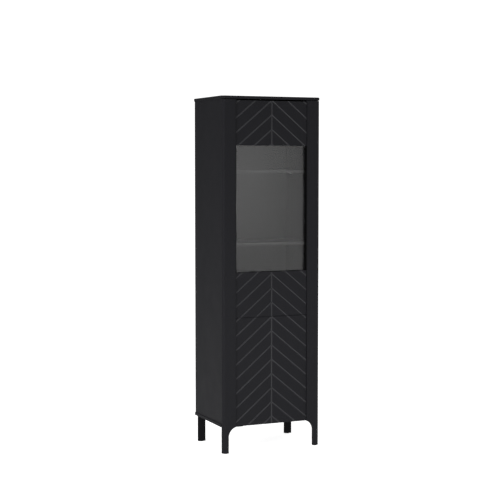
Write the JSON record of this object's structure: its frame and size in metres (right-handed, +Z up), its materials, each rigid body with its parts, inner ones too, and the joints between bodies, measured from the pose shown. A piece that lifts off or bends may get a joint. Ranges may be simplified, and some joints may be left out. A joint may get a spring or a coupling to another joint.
{
  "type": "display cabinet",
  "caption": "Tall free-standing display cabinet with a glazed upper door over a solid lower door, chevron grooves, shelves inside and short legs.",
  "frame": {"origin": "on the floor, under the middle of the cabinet (centre of the bounding box at its base)", "axes": "+Z up, +Y towards the wall (the front faces -Y), +X to the right seen from the front"},
  "size_m": [0.578, 0.4, 1.9],
  "materials": {
    "black_lacquer": "matte black lacquer on board",
    "inside_lacquer": "matte black foil on board",
    "black_hardboard": "matte black painted hardboard",
    "grey_glass": "clear polished, grey tint",
    "black_steel": "satin black powder coat",
    "zinc_steel": "zinc plated",
    "black_plastic": "matte black moulded",
    "white_nylon": "natural white nylon",
    "black_rubber": "soft matte black"
  },
  "bodies": {
    "cabinet": {"top_panel": "black_lacquer", "bottom_panel": "black_lacquer", "side_panel_left": "black_lacquer", "side_panel_right": "black_lacquer", "front_stile_left": "black_lacquer", "front_stile_right": "black_lacquer", "rear_leg_left": "black_lacquer", "rear_leg_right": "black_lacquer", "divider_shelf": "inside_lacquer", "head_rail": "inside_lacquer", "shelf_upper": "inside_lacquer", "shelf_middle": "inside_lacquer", "shelf_lower": "inside_lacquer", "back_panel_upper": "black_hardboard", "back_panel_lower": "black_hardboard", "shelf_pin_upper_1": "zinc_steel", "shelf_pin_upper_2": "zinc_steel", "shelf_pin_upper_3": "zinc_steel", "shelf_pin_upper_4": "zinc_steel", "shelf_pin_middle_1": "zinc_steel", "shelf_pin_middle_2": "zinc_steel", "shelf_pin_middle_3": "zinc_steel", "shelf_pin_middle_4": "zinc_steel", "shelf_pin_lower_1": "zinc_steel", "shelf_pin_lower_2": "zinc_steel", "shelf_pin_lower_3": "zinc_steel", "shelf_pin_lower_4": "zinc_steel", "glide_front_left": "black_plastic", "glide_front_right": "black_plastic", "glide_rear_left": "black_plastic", "glide_rear_right": "black_plastic", "pivot_bracket_top": "black_steel", "pivot_bracket_middle": "black_steel", "pivot_bracket_bottom": "black_steel", "latch_body_upper": "black_plastic", "latch_body_lower": "black_plastic", "wall_tie_angle": "zinc_steel"},
    "upper_door": {"upper_door_top_panel": "black_lacquer", "upper_door_lower_panel": "black_lacquer", "glass_pane": "grey_glass", "glass_bar_left": "black_steel", "glass_bar_right": "black_steel", "glass_clip_top_left": "black_plastic", "glass_clip_top_right": "black_plastic", "glass_clip_bottom_left": "black_plastic", "glass_clip_bottom_right": "black_plastic", "upper_door_top_bush": "white_nylon", "upper_door_bottom_bush": "white_nylon", "strike_plate_upper": "zinc_steel", "buffer_upper_door_top": "black_rubber", "buffer_upper_door_bottom": "black_rubber"},
    "lower_door": {"lower_door_panel": "black_lacquer", "lower_door_top_bush": "white_nylon", "lower_door_bottom_bush": "white_nylon", "strike_plate_lower": "zinc_steel", "buffer_lower_door_top": "black_rubber", "buffer_lower_door_bottom": "black_rubber"},
    "upper_plunger": {"latch_plunger_upper": "zinc_steel"},
    "lower_plunger": {"latch_plunger_lower": "zinc_steel"}
  },
  "joints": [
    {"name": "upper_door_swing", "type": "hinge", "parent": "cabinet", "child": "upper_door", "pos_m": [-0.1854, -0.186, 1.3], "axis": [0, 0, -1], "range_deg": [0, 105]},
    {"name": "lower_door_swing", "type": "hinge", "parent": "cabinet", "child": "lower_door", "pos_m": [-0.1854, -0.186, 0.43], "axis": [0, 0, -1], "range_deg": [0, 105]},
    {"name": "upper_plunger_press", "type": "slide", "parent": "cabinet", "child": "upper_plunger", "axis": [0, 1, 0], "range_m": [0, 0.005], "stiffness_N_per_m": 400},
    {"name": "lower_plunger_press", "type": "slide", "parent": "cabinet", "child": "lower_plunger", "axis": [0, 1, 0], "range_m": [0, 0.005], "stiffness_N_per_m": 400}
  ]
}
